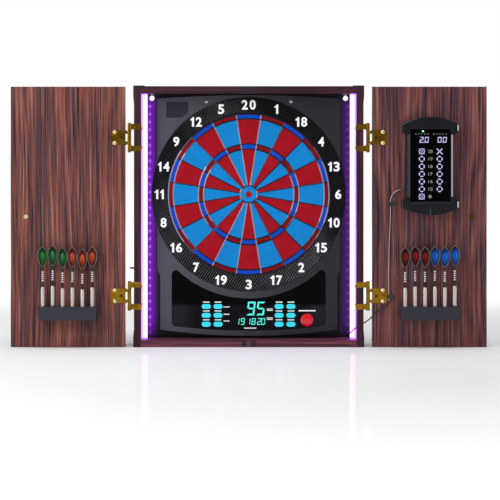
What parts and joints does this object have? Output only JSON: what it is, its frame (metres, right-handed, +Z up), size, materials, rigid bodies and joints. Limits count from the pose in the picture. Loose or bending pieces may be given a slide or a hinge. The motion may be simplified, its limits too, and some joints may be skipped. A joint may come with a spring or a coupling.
{
  "type": "electronic dartboard in a wooden cabinet",
  "caption": "Electronic soft-tip dartboard with display, keys and light tubes in a two-door wooden wall cabinet with dart racks and a door scoreboard.",
  "frame": {"origin": "middle of the cabinet's underside, at half the depth of the box without its doors", "axes": "+X to the player's right, -Y out of the front towards the player, +Z up"},
  "size_m": [0.999, 0.15, 0.5495],
  "materials": {
    "wood": "satin dark red-brown woodgrain foil",
    "panel_black": "black painted hardboard",
    "protector_steel": "dark blue-grey paint",
    "magnet_grey": "dull grey",
    "screw_steel": "zinc plated",
    "channel_aluminium": "black anodised",
    "tube_glow": "frosted diffuser, lit violet",
    "hinge_brass": "polished",
    "shell_black": "fine texture",
    "shell_graphite": "satin graphite",
    "ring_black": "woven diagonal pattern",
    "web_black": "semi gloss",
    "mat_rubber": "matt",
    "board_green": "solder mask",
    "window_black": "gloss smoked",
    "segment_red": "drilled face",
    "segment_blue": "drilled face",
    "ring_red": "drilled face",
    "ring_blue": "drilled face",
    "key_cyan": "lit keycap",
    "button_red": "gloss",
    "knob_black": "gloss",
    "holder_slate": "satin",
    "dart_green": "foil flights, turned metal barrels",
    "dart_amber": "foil flights, turned metal barrels",
    "dart_red": "foil flights, turned metal barrels",
    "dart_blue": "foil flights, turned metal barrels",
    "scoreboard_black": "satin",
    "cable_black": "satin sheath"
  },
  "bodies": {
    "cabinet": {"top_board": "wood", "bottom_board": "wood", "left_side_board": "wood", "right_side_board": "wood", "back_panel": "panel_black", "corner_protectors": "protector_steel", "cabinet_screws": "screw_steel", "catch_magnets": "magnet_grey", "led_channels": "channel_aluminium", "led_tubes": "tube_glow", "hinge_cabinet_leaves": "hinge_brass", "hinge_pins": "hinge_brass", "rear_shell": "shell_black", "front_shell": "shell_graphite", "catch_ring": "ring_black", "spider": "web_black", "sensor_mat": "mat_rubber", "display_board": "board_green", "display_window": "window_black", "power_cord": "cable_black", "power_cord_coil": "cable_black", "power_adapter": "shell_black"},
    "red_singles": {"red_singles": "segment_red"},
    "blue_singles": {"blue_singles": "segment_blue"},
    "red_ring_segments": {"red_ring_segments": "ring_red"},
    "blue_ring_segments": {"blue_ring_segments": "ring_blue"},
    "outer_bull": {"outer_bull": "segment_blue"},
    "bullseye": {"bullseye": "segment_red"},
    "left_key_1": {"left_key_1": "key_cyan"},
    "left_key_2": {"left_key_2": "key_cyan"},
    "left_key_3": {"left_key_3": "key_cyan"},
    "left_key_4": {"left_key_4": "key_cyan"},
    "left_key_5": {"left_key_5": "key_cyan"},
    "left_key_6": {"left_key_6": "key_cyan"},
    "right_key_1": {"right_key_1": "key_cyan"},
    "right_key_2": {"right_key_2": "key_cyan"},
    "right_key_3": {"right_key_3": "key_cyan"},
    "right_key_4": {"right_key_4": "key_cyan"},
    "right_key_5": {"right_key_5": "key_cyan"},
    "right_key_6": {"right_key_6": "key_cyan"},
    "player_button": {"player_button": "button_red"},
    "left_door": {"left_door": "wood", "left_door_hinge_leaves": "hinge_brass", "left_door_screws": "screw_steel", "left_knob": "knob_black", "left_dart_holder": "holder_slate"},
    "right_door": {"right_door": "wood", "right_door_hinge_leaves": "hinge_brass", "right_door_screws": "screw_steel", "right_knob": "knob_black", "right_dart_holder": "holder_slate", "scoreboard_housing": "scoreboard_black", "scoreboard_display": "window_black", "cable_clips": "knob_black", "scoreboard_cable": "cable_black", "cable_crossing": "cable_black"},
    "green_darts": {"green_darts": "dart_green"},
    "amber_darts": {"amber_darts": "dart_amber"},
    "red_darts": {"red_darts": "dart_red"},
    "blue_darts": {"blue_darts": "dart_blue"}
  },
  "joints": [
    {"name": "left_door_hinge", "type": "hinge", "parent": "cabinet", "child": "left_door", "pos_m": [-0.25025, -0.0383, 0.274], "axis": [0, 0, 1], "range_deg": [0, 180]},
    {"name": "right_door_hinge", "type": "hinge", "parent": "cabinet", "child": "right_door", "pos_m": [0.25025, -0.0383, 0.274], "axis": [0, 0, -1], "range_deg": [0, 180], "deforming": ["cable_crossing"]},
    {"name": "red_singles_press", "type": "slide", "parent": "cabinet", "child": "red_singles", "axis": [0, 1, 0], "range_m": [0, 0.0008], "stiffness_N_per_m": 3000},
    {"name": "blue_singles_press", "type": "slide", "parent": "cabinet", "child": "blue_singles", "axis": [0, 1, 0], "range_m": [0, 0.0008], "stiffness_N_per_m": 3000},
    {"name": "red_ring_segments_press", "type": "slide", "parent": "cabinet", "child": "red_ring_segments", "axis": [0, 1, 0], "range_m": [0, 0.0008], "stiffness_N_per_m": 1500},
    {"name": "blue_ring_segments_press", "type": "slide", "parent": "cabinet", "child": "blue_ring_segments", "axis": [0, 1, 0], "range_m": [0, 0.0008], "stiffness_N_per_m": 1500},
    {"name": "outer_bull_press", "type": "slide", "parent": "cabinet", "child": "outer_bull", "axis": [0, 1, 0], "range_m": [0, 0.0008], "stiffness_N_per_m": 600},
    {"name": "bullseye_press", "type": "slide", "parent": "cabinet", "child": "bullseye", "axis": [0, 1, 0], "range_m": [0, 0.0008], "stiffness_N_per_m": 200},
    {"name": "left_key_1_press", "type": "slide", "parent": "cabinet", "child": "left_key_1", "axis": [0, 1, 0], "range_m": [0, 0.001], "stiffness_N_per_m": 120},
    {"name": "left_key_2_press", "type": "slide", "parent": "cabinet", "child": "left_key_2", "axis": [0, 1, 0], "range_m": [0, 0.001], "stiffness_N_per_m": 120},
    {"name": "left_key_3_press", "type": "slide", "parent": "cabinet", "child": "left_key_3", "axis": [0, 1, 0], "range_m": [0, 0.001], "stiffness_N_per_m": 120},
    {"name": "left_key_4_press", "type": "slide", "parent": "cabinet", "child": "left_key_4", "axis": [0, 1, 0], "range_m": [0, 0.001], "stiffness_N_per_m": 120},
    {"name": "left_key_5_press", "type": "slide", "parent": "cabinet", "child": "left_key_5", "axis": [0, 1, 0], "range_m": [0, 0.001], "stiffness_N_per_m": 120},
    {"name": "left_key_6_press", "type": "slide", "parent": "cabinet", "child": "left_key_6", "axis": [0, 1, 0], "range_m": [0, 0.001], "stiffness_N_per_m": 120},
    {"name": "right_key_1_press", "type": "slide", "parent": "cabinet", "child": "right_key_1", "axis": [0, 1, 0], "range_m": [0, 0.001], "stiffness_N_per_m": 120},
    {"name": "right_key_2_press", "type": "slide", "parent": "cabinet", "child": "right_key_2", "axis": [0, 1, 0], "range_m": [0, 0.001], "stiffness_N_per_m": 120},
    {"name": "right_key_3_press", "type": "slide", "parent": "cabinet", "child": "right_key_3", "axis": [0, 1, 0], "range_m": [0, 0.001], "stiffness_N_per_m": 120},
    {"name": "right_key_4_press", "type": "slide", "parent": "cabinet", "child": "right_key_4", "axis": [0, 1, 0], "range_m": [0, 0.001], "stiffness_N_per_m": 120},
    {"name": "right_key_5_press", "type": "slide", "parent": "cabinet", "child": "right_key_5", "axis": [0, 1, 0], "range_m": [0, 0.001], "stiffness_N_per_m": 120},
    {"name": "right_key_6_press", "type": "slide", "parent": "cabinet", "child": "right_key_6", "axis": [0, 1, 0], "range_m": [0, 0.001], "stiffness_N_per_m": 120},
    {"name": "player_button_press", "type": "slide", "parent": "cabinet", "child": "player_button", "axis": [0, 1, 0], "range_m": [0, 0.002], "stiffness_N_per_m": 250},
    {"name": "green_darts_lift", "type": "slide", "parent": "left_door", "child": "green_darts", "axis": [0, 0, 1], "range_m": [0, 0.032]},
    {"name": "amber_darts_lift", "type": "slide", "parent": "left_door", "child": "amber_darts", "axis": [0, 0, 1], "range_m": [0, 0.032]},
    {"name": "red_darts_lift", "type": "slide", "parent": "right_door", "child": "red_darts", "axis": [0, 0, 1], "range_m": [0, 0.032]},
    {"name": "blue_darts_lift", "type": "slide", "parent": "right_door", "child": "blue_darts", "axis": [0, 0, 1], "range_m": [0, 0.032]}
  ]
}
